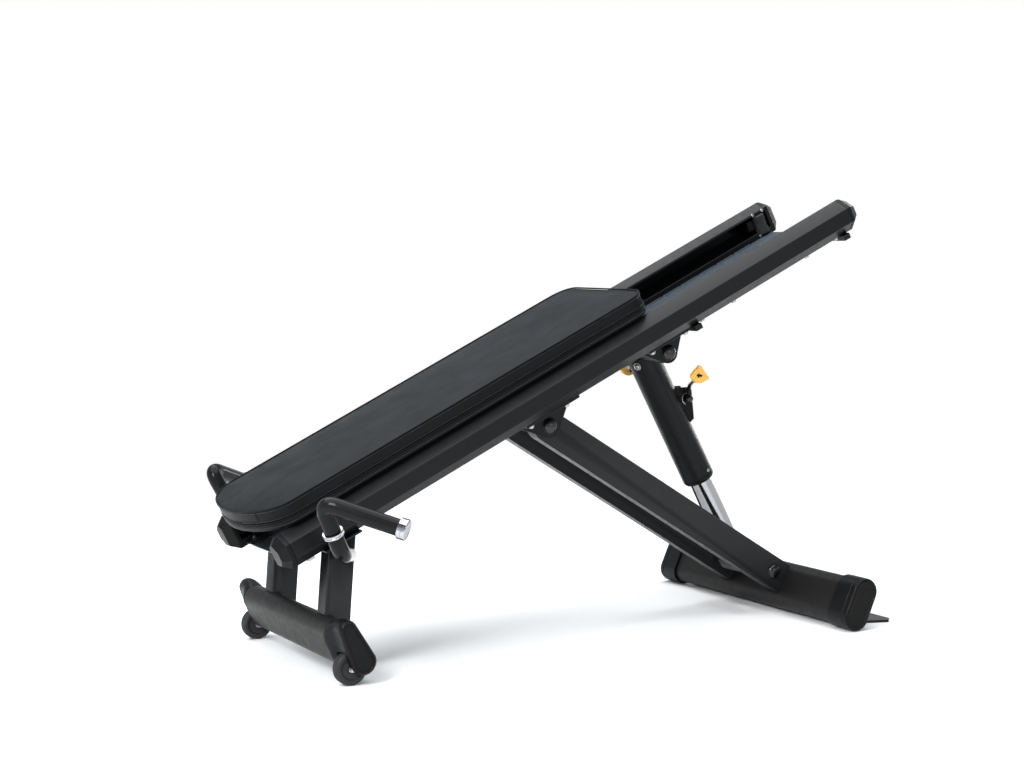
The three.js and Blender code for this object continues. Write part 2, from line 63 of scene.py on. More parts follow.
JOINTS = {joint["name"]: joint for joint in frame["joints"]}
BODY_OF = {n: b for b, members in frame["record"]["behaviour"]["bodies"].items() for n in members}
SIDES = (("near", -1), ("far", 1))
MM = 0.001
ACROSS = Vector((0, 1, 0))


# ---- side-view frames --------------------------------------------
class Side:
    """A frame in the side view: s runs along a part, y across the machine, h square to both."""

    def __init__(self, origin, along):
        self.origin = Vector(origin)
        self.u = Vector(along).normalized()
        self.w = self.u.cross(ACROSS)

    def at(self, s, y, h):
        return self.origin + self.u * s + ACROSS * y + self.w * h

    def span(self, node):
        """Lowest and highest (s, y, h) of a CAD node."""
        points = [v.co - self.origin for v in NODES[node].data.vertices]
        local = [(p.dot(self.u), p.y, p.dot(self.w)) for p in points]
        return Vector(map(min, zip(*local))), Vector(map(max, zip(*local)))

    @property
    def matrix(self):
        turn = Matrix((self.u, ACROSS, self.w)).transposed().to_4x4()
        return Matrix.Translation(self.origin) @ turn


def middle(node):
    low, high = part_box(node)
    return (low + high) / 2


def rail_side():
    """The rails' frame: s from their low end, h from the middle of their cross-section."""
    side = Side((0, 0, 0), JOINTS["carriage_slide"]["axis"])
    low, high = side.span("rail_near")
    side.origin = side.at(side.span("low_end_cap_near")[0].x, 0, (low.z + high.z) / 2)
    return side


RAIL = rail_side()
PIVOT_A = Vector(JOINTS["arm_fold"]["pos_m"])
PIVOT_B = Vector(JOINTS["column_swing"]["pos_m"])
WHEEL = middle("front_wheel_near")
ARM_AIM = Vector((WHEEL.x + 1.242, 0, 0.111))    # the arms' centre line runs from pivot A through here
ARM = Side(PIVOT_A, ARM_AIM - PIVOT_A)
COLUMN = Side(PIVOT_B, JOINTS["column_slide"]["axis"])
RAIL_LOW = RAIL.span("rail_far")[0]


# ---- materials ---------------------------------------------------
class Shader:
    """A Principled material whose patterns come from the object's own coordinates."""

    def __init__(self, name, **constants):
        self.material = bpy.data.materials.new(name)
        self.material.use_nodes = True
        self.nodes = self.material.node_tree.nodes
        self.links = self.material.node_tree.links
        self.bsdf = next(n for n in self.nodes if n.type == "BSDF_PRINCIPLED")
        for socket, value in constants.items():
            self.bsdf.inputs[socket.replace("_", " ")].default_value = value
        self.coords = self.nodes.new("ShaderNodeTexCoord").outputs["Object"]

    def noise(self, scale, detail=3.0, rough=0.5, stretch=None):
        texture = self.nodes.new("ShaderNodeTexNoise")
        texture.inputs["Scale"].default_value = scale
        texture.inputs["Detail"].default_value = detail
        texture.inputs["Roughness"].default_value = rough
        coords = self.coords
        if stretch:
            mapping = self.nodes.new("ShaderNodeMapping")
            mapping.inputs["Scale"].default_value = stretch
            self.links.new(coords, mapping.inputs["Vector"])
            coords = mapping.outputs["Vector"]
        self.links.new(coords, texture.inputs["Vector"])
        return texture.outputs["Fac"]

    def cells(self, scale, feature="F1"):
        texture = self.nodes.new("ShaderNodeTexVoronoi")
        texture.feature = feature
        texture.inputs["Scale"].default_value = scale
        self.links.new(self.coords, texture.inputs["Vector"])
        return texture.outputs["Distance"]

    def span(self, value, low, high, start=0.35, end=0.65):
        node = self.nodes.new("ShaderNodeMapRange")
        self.links.new(value, node.inputs["Value"])
        for socket, number in (("From Min", start), ("From Max", end), ("To Min", low), ("To Max", high)):
            node.inputs[socket].default_value = number
        return node.outputs["Result"]

    def blend(self, value, dark, light):
        node = self.nodes.new("ShaderNodeMix")
        node.data_type = "RGBA"
        node.inputs["A"].default_value = (*dark, 1)
        node.inputs["B"].default_value = (*light, 1)
        self.links.new(value, node.inputs["Factor"])
        return node.outputs["Result"]

    def add(self, a, b, share=1.0):
        node = self.nodes.new("ShaderNodeMath")
        node.operation = "MULTIPLY_ADD"
        self.links.new(b, node.inputs[0])
        node.inputs[1].default_value = share
        self.links.new(a, node.inputs[2])
        return node.outputs["Value"]

    def colour(self, value):
        self.links.new(value, self.bsdf.inputs["Base Color"])

    def roughness(self, value):
        self.links.new(value, self.bsdf.inputs["Roughness"])

    def bump(self, height, strength, distance):
        node = self.nodes.new("ShaderNodeBump")
        node.inputs["Strength"].default_value = strength
        node.inputs["Distance"].default_value = distance
        self.links.new(height, node.inputs["Height"])
        self.links.new(node.outputs["Normal"], self.bsdf.inputs["Normal"])


def worn_edges(shader, colour, edge):
    """Edges rubbed a little lighter than the faces beside them."""
    geometry = shader.nodes.new("ShaderNodeNewGeometry")
    rub = shader.span(geometry.outputs["Pointiness"], 0, 1, 0.53, 0.62)
    node = shader.nodes.new("ShaderNodeMix")
    node.data_type = "RGBA"
    shader.links.new(rub, node.inputs["Factor"])
    shader.links.new(colour, node.inputs["A"])
    node.inputs["B"].default_value = (*edge, 1)
    return node.outputs["Result"]


def powder_coat(name, dark, light, rough, peel=0.05):
    """Satin powder coat: fine orange peel, faint cloudiness, edges rubbed a shade lighter."""
    shader = Shader(name, Metallic=0.0, Specular_IOR_Level=0.15)
    cloud = shader.noise(9, 4)
    edge = tuple(2.0 * c + 0.004 for c in light)
    shader.colour(worn_edges(shader, shader.blend(cloud, dark, light), edge))
    shader.roughness(shader.span(shader.noise(60, 3), rough - 0.04, rough + 0.05))
    shader.bump(shader.noise(850, 2, 0.6), peel, 0.0003)
    return shader.material


def moulded_plastic(name, dark, light, rough, gloss=0.12, grain=0.05):
    """Moulded plastic with a fine spark-eroded texture."""
    shader = Shader(name, Specular_IOR_Level=gloss)
    shader.colour(shader.blend(shader.noise(14, 3), dark, light))
    shader.roughness(shader.span(shader.noise(90, 2), rough - 0.05, rough + 0.06))
    shader.bump(shader.add(shader.cells(1500), shader.noise(700, 2), 0.6), grain, 0.0002)
    return shader.material


def gloss_paint():
    shader = Shader("gloss_black_paint", Specular_IOR_Level=0.07, Coat_Weight=0.03, Coat_Roughness=0.08)
    shader.colour(shader.blend(shader.noise(12, 2), (0.006, 0.006, 0.007), (0.011, 0.011, 0.012)))
    shader.roughness(shader.span(shader.noise(35, 4), 0.13, 0.17))
    shader.bump(shader.noise(420, 2), 0.012, 0.0002)
    return shader.material


def bright_metal(name, colour, dull, rough, brushed):
    """Chrome or zinc plate: faint brush marks and patches of dullness."""
    shader = Shader(name, Metallic=1.0)
    shader.colour(shader.blend(shader.noise(40, 3), dull, colour))
    shader.roughness(shader.span(shader.noise(120, 4, 0.6, brushed), rough, rough + 0.09))
    shader.bump(shader.noise(900, 2, 0.6, brushed), 0.03, 0.0002)
    return shader.material


def tread_rubber():
    shader = Shader("tread_rubber", Specular_IOR_Level=0.35)
    shader.colour(shader.blend(shader.noise(70, 4), (0.009, 0.009, 0.01), (0.02, 0.02, 0.021)))
    shader.roughness(shader.span(shader.noise(45, 4), 0.55, 0.74))
    shader.bump(shader.noise(1300, 3, 0.7), 0.3, 0.0003)
    return shader.material


def grained_vinyl(name, dark, light, rough):
    """Upholstery vinyl: pebble grain with fine creases between the cells, and faint hand-rubbed patches."""
    shader = Shader(name, Specular_IOR_Level=0.07)
    shader.colour(shader.blend(shader.noise(7, 4), dark, light))
    grain = shader.cells(620, "DISTANCE_TO_EDGE")
    pebble = shader.add(shader.span(grain, 0, 1, 0.0, 0.16), shader.noise(1500, 2), 0.35)
    rubbed = shader.span(shader.noise(11, 5, 0.6), rough - 0.05, rough + 0.07)
    shader.roughness(shader.add(rubbed, shader.span(grain, 0.06, 0, 0, 0.12), 1.0))
    shader.bump(pebble, 0.3, 0.0005)
    return shader.material


def thread():
    shader = Shader("black_thread", Specular_IOR_Level=0.3, Sheen_Weight=0.3)
    shader.colour(shader.blend(shader.noise(900, 2), (0.02, 0.021, 0.023), (0.05, 0.052, 0.056)))
    shader.roughness(shader.span(shader.noise(500, 2), 0.5, 0.7))
    shader.bump(shader.noise(2500, 2), 0.4, 0.0002)
    return shader.material


def amber_plastic():
    shader = Shader("amber_plastic", Specular_IOR_Level=0.4, Subsurface_Weight=0.05)
    shader.colour(shader.blend(shader.noise(60, 4), (0.62, 0.33, 0.055), (0.78, 0.45, 0.10)))
    shader.roughness(shader.span(shader.noise(80, 3), 0.36, 0.5))
    shader.bump(shader.noise(900, 3), 0.12, 0.0003)
    return shader.material


MATERIALS = {
    "rail_coat": powder_coat("rail_coat", (0.0042, 0.0045, 0.0052), (0.0065, 0.0069, 0.0078), 0.34),
    "frame_coat": powder_coat("frame_coat", (0.0045, 0.0048, 0.0054), (0.0070, 0.0074, 0.0082), 0.38),
    "foot_coat": powder_coat("foot_coat", (0.0058, 0.0054, 0.0052), (0.0070, 0.0065, 0.0063), 0.46),
    "moulded_plastic": moulded_plastic("moulded_plastic", (0.0030, 0.0030, 0.0033),
                                       (0.0050, 0.0050, 0.0055), 0.4),
    "domed_plastic": moulded_plastic("domed_plastic", (0.0028, 0.0028, 0.0030),
                                     (0.0042, 0.0042, 0.0046), 0.24, 0.5, 0.01),
    "gloss_black": gloss_paint(),
    # chrome_plate's colour is darker than real chrome: painted shade standing in for the darker studio that
    # the chrome reflects
    "chrome_plate": bright_metal("chrome_plate", (0.42, 0.43, 0.45), (0.34, 0.35, 0.37), 0.05, (1, 8, 1)),
    "plain_steel": bright_metal("plain_steel", (0.50, 0.50, 0.49), (0.34, 0.34, 0.33), 0.26, (1, 1, 6)),
    "rubber_tread": tread_rubber(),
    "vinyl": grained_vinyl("vinyl", (0.0042, 0.0047, 0.0055), (0.0066, 0.0074, 0.0088), 0.40),
    "tray_finish": powder_coat("tray_finish", (0.030, 0.039, 0.048), (0.045, 0.057, 0.068), 0.42),
    "yellow_grip": amber_plastic(),
    "thread": thread(),
}


# ---- mesh helpers ------------------------------------------------
def mm(*pairs):
    """Pairs of millimetres, in metres."""
    return [(a * MM, b * MM) for a, b in pairs]


def linked(name, bm):
    """A bmesh as an object in the scene."""
    mesh = bpy.data.meshes.new(name)
    bm.to_mesh(mesh)
    bm.free()
    obj = bpy.data.objects.new(name, mesh)
    bpy.context.scene.collection.objects.link(obj)
    return obj


def piece(name, bm, body, finish, matrix=None, replaces=(), crease=32, weighted=True):
    """Turns a bmesh into a piece of the object: shaded, finished, and riding on its body."""
    bmesh.ops.recalc_face_normals(bm, faces=bm.faces)
    if matrix is not None:
        bm.transform(matrix)
        if matrix.determinant() < 0:
            bmesh.ops.reverse_faces(bm, faces=bm.faces)
    obj = linked(name, bm)
    mesh = obj.data
    mesh.polygons.foreach_set("use_smooth", [True] * len(mesh.polygons))
    mesh.set_sharp_from_angle(angle=math.radians(crease))
    mesh.materials.append(MATERIALS[finish])
    if weighted:
        obj.modifiers.new("even_normals", "WEIGHTED_NORMAL").keep_sharp = True
    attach(obj, body)
    if replaces:
        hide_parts(*replaces)
    return obj


def formed(node, bm, finish, matrix=None, **options):
    """A finished shape that takes the place of one node, on the node's own body."""
    return piece(f"{node}_formed", bm, BODY_OF[node], finish, matrix, [node], **options)


def merged(*parts):
    """Several bmeshes as one."""
    whole = bmesh.new()
    for part in parts:
        mesh = bpy.data.meshes.new("part")
        part.to_mesh(mesh)
        part.free()
        whole.from_mesh(mesh)
        bpy.data.meshes.remove(mesh)
    return whole


def skin(rings, closed=True, caps=True):
    """A skin through rings of equally many points; closed rings go all the way round."""
    bm = bmesh.new()
    rows = [[bm.verts.new(p) for p in ring] for ring in rings]
    count = len(rings[0])
    for below, above in zip(rows, rows[1:]):
        for i in range(count if closed else count - 1):
            j = (i + 1) % count
            bm.faces.new((below[i], below[j], above[j], above[i]))
    if caps:
        bm.faces.new(list(reversed(rows[0])))
        bm.faces.new(rows[-1])
    return bm


def lathe(profile, centre, axis, segments=48):
    """A turned piece: profile is (radius, distance along the axis) from one end to the other."""
    axis = Vector(axis).normalized()
    side = axis.orthogonal().normalized()
    other = axis.cross(side)
    turns = [2 * math.pi * i / segments for i in range(segments)]
    return skin([[Vector(centre) + axis * d + (side * math.cos(t) + other * math.sin(t)) * r for t in turns]
                 for r, d in profile])


def turned_ring(profile, centre, axis, segments):
    """A turned piece whose profile closes on itself, so its two flat ends go and the seam is joined."""
    bm = lathe(profile, centre, axis, segments)
    bmesh.ops.delete(bm, geom=[f for f in bm.faces if len(f.verts) == segments], context="FACES_ONLY")
    bmesh.ops.remove_doubles(bm, verts=bm.verts, dist=1e-6)
    return bm


def rounded_path(points, bend, steps=12):
    """Points with each inner corner replaced by a round bend that starts `bend` before it."""
    path = [Vector(points[0])]
    for before, corner, after in zip(points, points[1:], points[2:]):
        corner = Vector(corner)
        start = corner + (Vector(before) - corner).normalized() * bend
        end = corner + (Vector(after) - corner).normalized() * bend
        for i in range(steps + 1):
            t = i / steps
            path.append(start * (1 - t) ** 2 + corner * 2 * t * (1 - t) + end * t * t)
    path.append(Vector(points[-1]))
    return path


def tube(path, radius, sides=32, loop=False):
    """A round tube along a path; radius may be a function of the share of the way along."""
    count = len(path)
    rings, side = [], None
    for i, p in enumerate(path):
        if loop:
            ahead, back = path[(i + 1) % count], path[i - 1]
        else:
            ahead, back = path[min(i + 1, count - 1)], path[max(i - 1, 0)]
        tangent = (ahead - back).normalized()
        side = tangent.orthogonal() if side is None else side - tangent * side.dot(tangent)
        side.normalize()
        other = tangent.cross(side)
        r = radius(i / (count - 1)) if callable(radius) else radius
        rings.append([p + (side * math.cos(t) + other * math.sin(t)) * r
                      for t in (2 * math.pi * k / sides for k in range(sides))])
    return skin(rings + [rings[0]] if loop else rings, caps=not loop)


def extruded(outline, y0, y1, bevel=0.0, segments=3):
    """A side-view outline (s, h) given width across, with softened rims."""
    bm = skin([[Vector((s, y, h)) for s, h in outline] for y in (y0, y1)])
    if bevel:
        rims = [e for e in bm.edges if abs(e.verts[0].co.y - e.verts[1].co.y) < 1e-7]
        bmesh.ops.bevel(bm, geom=rims, offset=bevel, segments=segments, profile=0.5, affect="EDGES",
                        clamp_overlap=True)
    return bm


def belt(a, b, radius, end_radius=None, steps=14):
    """The outline of a belt round a circle at a and another, perhaps of a different radius, at b."""
    end_radius = radius if end_radius is None else end_radius
    angle = math.atan2(b[1] - a[1], b[0] - a[0])
    half = math.acos((radius - end_radius) / math.hypot(b[0] - a[0], b[1] - a[1]))
    points = []
    for centre, r, start, span in ((b, end_radius, angle - half, 2 * half),
                                   (a, radius, angle + half, 2 * math.pi - 2 * half)):
        for i in range(steps + 1):
            t = start + span * i / steps
            points.append((centre[0] + r * math.cos(t), centre[1] + r * math.sin(t)))
    return points


def softened(node, stages, angle=34):
    """A CAD node's shape with its outer edges rounded: stages are (radius, segments, shortest edge)."""
    bm = bmesh.new()
    bm.from_mesh(NODES[node].data)
    bmesh.ops.remove_doubles(bm, verts=bm.verts, dist=1e-5)
    bmesh.ops.dissolve_limit(bm, angle_limit=math.radians(1), verts=bm.verts, edges=bm.edges)
    for radius, segments, shortest in stages:
        edges = [e for e in bm.edges if e.is_manifold and e.is_convex and e.calc_length() >= shortest
                 and e.calc_face_angle(0) > math.radians(angle)]
        bmesh.ops.bevel(bm, geom=edges, offset=radius, segments=segments, profile=0.5, affect="EDGES",
                        clamp_overlap=True)
    return bm


def soften(node, finish, stages, **options):
    return formed(node, softened(node, stages), finish, **options)


def carried(node, finish):
    """A CAD node that is shown as it is, with a finish of its own."""
    mesh = NODES[node].data
    mesh.materials.clear()
    mesh.materials.append(MATERIALS[finish])


# ---- fasteners ---------------------------------------------------
def socket_screw(centre, axis, radius, height, washer=0.0, sides=24):
    """A button-head screw with a hexagon socket, sitting on a surface at centre."""
    axis = Vector(axis).normalized()
    side = axis.orthogonal().normalized()
    other = axis.cross(side)
    turns = [2 * math.pi * i / sides for i in range(sides)]

    def ring(r, d, hexagonal=False):
        points = []
        for t in turns:
            reach = r
            if hexagonal:
                reach = r * math.cos(math.pi / 6) / math.cos((t % (math.pi / 3)) - math.pi / 6)
            points.append(Vector(centre) + axis * d + (side * math.cos(t) + other * math.sin(t)) * reach)
        return points

    profile = []
    if washer:
        profile += [ring(washer, 0), ring(washer, 1.2 * MM), ring(radius * 1.02, 1.5 * MM)]
        centre = Vector(centre) + axis * 1.5 * MM
    profile += [ring(radius, 0), ring(radius, height * 0.35), ring(radius * 0.88, height * 0.8),
                ring(radius * 0.62, height), ring(radius * 0.52, height, True),
                ring(radius * 0.5, height * 0.35, True)]
    return skin(profile)


def domed_cap(centre, axis, radius, height):
    """A press-on domed cap with a small lip."""
    profile = [(radius * 0.9, -1.5 * MM), (radius, -1 * MM), (radius, height * 0.12)]
    for i in range(9):
        t = math.pi / 2 * i / 9
        profile.append((radius * 0.96 * math.cos(t), height * (0.16 + 0.84 * math.sin(t))))
    profile.append((radius * 0.06, height))
    return lathe(profile, centre, axis)


# ---- pad ---------------------------------------------------------
PAD_LOW, PAD_HIGH = RAIL.span("pad_cushion")
BASE_LOW, BASE_HIGH = RAIL.span("pad_base")
LOW_ROUND, HIGH_CORNER = 90 * MM, 55 * MM
WELT_H = PAD_HIGH.z - 5 * MM
CROWN = 9 * MM
WALL_BULGE = 2.5 * MM


def pad_outline(step=11 * MM):
    """Points and outward normals round the pad's outline, anticlockwise from the low end of its near side."""
    half = PAD_HIGH.y
    points = []

    def straight(a, b, normal):
        a, b = Vector(a), Vector(b)
        count = max(1, round((b - a).length / step))
        points.extend((a.lerp(b, i / count), Vector(normal)) for i in range(count))

    def corner(centre, radius, start):
        count = max(4, round(radius * math.pi / 2 / step))
        for i in range(count):
            t = start + math.pi / 2 * i / count
            normal = Vector((math.cos(t), math.sin(t)))
            points.append((Vector(centre) + normal * radius, normal))

    low, high = PAD_LOW.x, PAD_HIGH.x
    straight((low + LOW_ROUND, -half), (high - HIGH_CORNER, -half), (0, -1))
    corner((high - HIGH_CORNER, HIGH_CORNER - half), HIGH_CORNER, -math.pi / 2)
    straight((high, HIGH_CORNER - half), (high, half - HIGH_CORNER), (1, 0))
    corner((high - HIGH_CORNER, half - HIGH_CORNER), HIGH_CORNER, 0)
    straight((high - HIGH_CORNER, half), (low + LOW_ROUND, half), (0, 1))
    count = round(math.pi * math.hypot(LOW_ROUND, half) / math.sqrt(2) / step)
    for i in range(count):
        t = math.pi / 2 + math.pi * i / count
        normal = Vector((math.cos(t) * half, math.sin(t) * LOW_ROUND)).normalized()
        points.append((Vector((low + LOW_ROUND + LOW_ROUND * math.cos(t), half * math.sin(t))), normal))
    return points


OUTLINE = pad_outline()


def pad_ring(inset, h):
    return [Vector((p.x - n.x * inset, p.y - n.y * inset, h)) for p, n in OUTLINE]


def edge_distance(s, y):
    """How far inside the pad's outline a point lies."""
    low = min(s - PAD_LOW.x, PAD_HIGH.x - s, PAD_HIGH.y - abs(y))
    ds, dy = s - (PAD_HIGH.x - HIGH_CORNER), abs(y) - (PAD_HIGH.y - HIGH_CORNER)
    if ds > 0 and dy > 0:
        low = HIGH_CORNER - math.hypot(ds, dy)
    ds = s - PAD_LOW.x - LOW_ROUND
    if ds < 0:
        reach = max(0.05, math.hypot(ds / LOW_ROUND, y / PAD_HIGH.y))
        slope = math.hypot(ds / LOW_ROUND ** 2, y / PAD_HIGH.y ** 2) / reach
        low = min(low, (1 - reach) / max(slope, 1e-6))
    return low


def puckers(p):
    """Small pulls in the cover where it is gathered round the corners, and a faint unevenness elsewhere."""
    near = max(0.0, 1 - edge_distance(p.x, p.y) / (45 * MM))
    curved = 1.0 if p.x < PAD_LOW.x + LOW_ROUND else 0.25
    angle = math.atan2(p.y, p.x - PAD_LOW.x - LOW_ROUND)
    pulls = noise.noise(Vector((angle * 14, near * 1.5, 3.0))) * near * near * 1.1 * MM * curved
    return pulls + noise.noise(Vector((p.x, p.y, 0)) * 11) * 0.5 * MM


def cushion():
    """The main cushion: a boxed cover over foam, blown up by cloth simulation between its two seams."""
    foot, seam = PAD_LOW.z + 0.6 * MM, WELT_H
    shell = skin([pad_ring(inset * MM, h) for inset, h in (
        (9, foot), (3, foot + 1 * MM), (1.6, foot + 4 * MM),
        (1.6, seam - 2 * MM), (2.2, seam), (9, seam + 1.5 * MM))])
    bmesh.ops.recalc_face_normals(shell, faces=shell.faces)
    start = linked("cushion_start", shell)
    remesh = start.modifiers.new("even_faces", "REMESH")
    remesh.mode = "VOXEL"
    remesh.voxel_size = 6 * MM
    depsgraph = bpy.context.evaluated_depsgraph_get()
    even = bpy.data.meshes.new_from_object(start.evaluated_get(depsgraph))
    bpy.data.objects.remove(start)
    rest = [v.co.copy() for v in even.vertices]
    moved = inflated(even, rest)
    for vertex, before, after in zip(even.vertices, rest, moved):
        vertex.co = after + Vector((0, 0, puckers(before) if before.z > seam else 0))
    bm = bmesh.new()
    bm.from_mesh(even)
    bpy.data.meshes.remove(even)
    bmesh.ops.smooth_vert(bm, verts=[v for v in bm.verts if v.co.z > seam + 3 * MM], factor=0.5,
                          use_axis_x=True, use_axis_y=True, use_axis_z=True)
    obj = piece("pad_cushion_cover", bm, "carriage", "vinyl", RAIL.matrix, ["pad_cushion"], crease=70,
                weighted=False)
    obj.modifiers.new("smooth", "SUBSURF").levels = 1
    obj.modifiers["smooth"].render_levels = 1


def inflated(mesh, rest):
    """The cover blown up by the foam, held along both seams, with each point's travel capped."""
    cloth_obj = bpy.data.objects.new("cushion_cloth", mesh.copy())
    bpy.context.scene.collection.objects.link(cloth_obj)
    pins = cloth_obj.vertex_groups.new(name="seams")
    for i, p in enumerate(rest):
        inside = edge_distance(p.x, p.y)
        at_welt = abs(p.z - WELT_H) < 4 * MM and inside < 6 * MM
        if p.z < PAD_LOW.z + 3 * MM or at_welt:
            pins.add([i], 1.0, "REPLACE")
    cloth = cloth_obj.modifiers.new("cloth", "CLOTH")
    settings = cloth.settings
    settings.quality = 4
    settings.mass = 0.35
    settings.tension_stiffness = settings.compression_stiffness = 18
    settings.shear_stiffness = 8
    settings.bending_stiffness = 1.5
    settings.use_pressure = True
    settings.uniform_pressure_force = 4
    settings.vertex_group_mass = "seams"
    settings.effector_weights.gravity = 0
    cloth.collision_settings.use_self_collision = False
    cloth.point_cache.frame_start, cloth.point_cache.frame_end = 1, 20
    for step in range(1, 21):
        bpy.context.scene.frame_set(step)
    depsgraph = bpy.context.evaluated_depsgraph_get()
    blown = bpy.data.meshes.new_from_object(cloth_obj.evaluated_get(depsgraph))
    moved = []
    for before, vertex in zip(rest, blown.vertices):
        travel = vertex.co - before
        cap = CROWN if before.z > WELT_H - 2 * MM else WALL_BULGE
        length = travel.length
        moved.append(before + travel * (cap * math.tanh(length / cap) / length if length > 1e-9 else 1))
    bpy.data.objects.remove(cloth_obj)
    bpy.data.meshes.remove(blown)
    bpy.context.scene.frame_set(1)
    return moved


def pad_board():
    """The upholstered board under the cushion: a thin padded layer with a rolled lower edge."""
    low, high = BASE_LOW.z, BASE_HIGH.z
    thick = high - low
    profile = [(26 * MM, low), (9 * MM, low), (5 * MM, low + 1.2 * MM), (2.4 * MM, low + 0.16 * thick),
               (1.2 * MM, low + 0.34 * thick), (1.9 * MM, low + 0.43 * thick), (1.9 * MM, low + 0.47 * thick),
               (1.0 * MM, low + 0.56 * thick), (0.9 * MM, low + 0.72 * thick), (1.6 * MM, low + 0.88 * thick),
               (4.5 * MM, high - 0.6 * MM), (14 * MM, high - 0.4 * MM)]
    bm = skin([pad_ring(inset, h) for inset, h in profile])
    piece("pad_board_cover", bm, "carriage", "vinyl", RAIL.matrix, ["pad_base"], crease=70, weighted=False)


def welt(name, inset, h, radius):
    piece(name, tube(pad_ring(inset, h), radius, 10, loop=True), "carriage", "vinyl", RAIL.matrix, crease=80,
          weighted=False)


def stitch_row(name, inset, h, length=4.2 * MM, pitch=6 * MM, radius=0.55 * MM):
    """One row of thread round the pad, each stitch a short bowed strand."""
    ring = pad_ring(inset, h)
    stitches, carry = [], 0.0
    for i, a in enumerate(ring):
        b = ring[(i + 1) % len(ring)]
        span = (b - a).length
        way, out = (b - a) / span, Vector((OUTLINE[i][1].x, OUTLINE[i][1].y, 0))
        while carry < span:
            start = a + way * carry
            strand = [start + way * length * t + out * radius * (4 * t * (1 - t) - 0.35) for t in
                      (0, 0.2, 0.5, 0.8, 1)]
            stitches.append(tube(strand, lambda t: radius * (0.55 + 1.8 * t * (1 - t)), 6))
            carry += pitch
        carry -= span
    piece(name, merged(*stitches), "carriage", "thread", RAIL.matrix, crease=80, weighted=False)


def closing_seam():
    """The upright seams where the side band's two ends meet, one near each end of the pad."""
    seams = []
    for share in (0.955, 0.375):
        p, n = OUTLINE[round(share * len(OUTLINE))]
        base = [Vector((p.x - n.x * 0.9 * MM, p.y - n.y * 0.9 * MM, PAD_LOW.z + k * MM)) for k in
                range(4, round((WELT_H - PAD_LOW.z) / MM) - 1, 3)]
        out = Vector((n.x, n.y, 0))
        bow = [q + out * 1.5 * MM * math.sin(math.pi * i / (len(base) - 1)) for i, q in enumerate(base)]
        seams.append(tube(bow, 0.9 * MM, 8))
    piece("pad_closing_seams", merged(*seams), "carriage", "vinyl", RAIL.matrix, crease=80, weighted=False)


def build_pad():
    cushion()
    pad_board()
    welt("pad_top_welt", 1.9 * MM, WELT_H, 1.9 * MM)
    welt("pad_seam_welt", 2.0 * MM, PAD_LOW.z + 0.2 * MM, 1.7 * MM)
    stitch_row("pad_top_stitches", 0.7 * MM, WELT_H - 4.6 * MM)
    stitch_row("pad_seam_stitches", 0.4 * MM, PAD_LOW.z + 5.5 * MM)
    stitch_row("pad_board_stitches", 1.1 * MM, BASE_LOW.z + 0.45 * (BASE_HIGH.z - BASE_LOW.z))
    closing_seam()


# ---- rails -------------------------------------------------------
UNDER = RAIL_LOW.z
TRAY_TOP = UNDER + 3.2 * MM
SCREW_Y = 178 * MM


def tray_segments():
    """Raised pads along both sides of the tray, with slanted ends and a fine ridge on each."""
    pitch, length, slant = 62 * MM, 55 * MM, 7 * MM
    inner, outer, thick = 92 * MM, 143 * MM, 2.4 * MM
    pads = []
    count = int((1650 - 60) / 62)
    for i in range(count):
        s = 80 * MM + i * pitch
        for side in (-1, 1):
            corners = [(s, inner), (s + length, inner), (s + length + slant, outer), (s + slant, outer)]
            if side < 0:
                corners.reverse()
            rings = [[Vector((x, side * y, TRAY_TOP + h)) for x, y in corners] for h in (-0.5 * MM, thick)]
            pad = skin(rings)
            top = [e for e in pad.edges if all(v.co.z > TRAY_TOP for v in e.verts)]
            bmesh.ops.bevel(pad, geom=top, offset=1.2 * MM, segments=3, profile=0.6, affect="EDGES")
            ridge = [(x + (4 if k in (0, 3) else -4) * MM, 108 * MM if y == inner else 111 * MM)
                     for k, (x, y) in enumerate(corners if side > 0 else list(reversed(corners)))]
            if side < 0:
                ridge.reverse()
            bar = skin([[Vector((x, side * y, TRAY_TOP + h)) for x, y in ridge] for h in (thick - 0.3 * MM,
                                                                                    thick + 0.9 * MM)])
            pads += [pad, bar]
    piece("tray_segments", merged(*pads), "frame", "tray_finish", RAIL.matrix)


def rail_screws():
    """Button-head screws under the rails: brackets, tie bars, leg plate and stops."""
    under_flange = UNDER - 6.6 * MM
    spots = [(s * MM, under_flange) for s in (692, 798, 1065, 1170)]
    spots += [(s * MM, UNDER) for s in (1227, 1329, 1575, 1677)]
    screws = [socket_screw((s, side * SCREW_Y, h), (0, 0, -1), 6.5 * MM, 5.6 * MM, 8.5 * MM)
              for s, h in spots for side in (-1, 1)]
    screws += [socket_screw((s * MM, side * 182 * MM, UNDER - 5.6 * MM), (0, 0, -1), 6 * MM, 4.2 * MM, 8 * MM)
               for s in (118, 180) for side in (-1, 1)]
    piece("rail_screws", merged(*screws), "frame", "plain_steel", RAIL.matrix)


def inner_screws():
    """Screws that hold the end stops, in the rails' inner lips."""
    screws = []
    for s, h in ((1673, 27), (1673, -33), (1706, 27), (60, 27), (60, -33)):
        for side in (-1, 1):
            screws.append(socket_screw((s * MM, side * RAIL_LOW.y, h * MM), (0, -side, 0),
                                       4.5 * MM, 2.4 * MM))
    piece("rail_inner_screws", merged(*screws), "frame", "plain_steel", RAIL.matrix)


def end_bumpers():
    """Rubber buffers across the rails' channels at the top end."""
    parts = []
    for side in (-1, 1):
        profile = mm((15, -27), (17.5, -25), (17.5, -12), (16, -9), (16, 9), (17.5, 12), (17.5, 25), (15, 27))
        parts.append(lathe(profile, (1691 * MM, side * 152 * MM, -6 * MM), (0, 0, 1), 36))
    piece("end_bumpers", merged(*parts), "frame", "rubber_tread", RAIL.matrix)


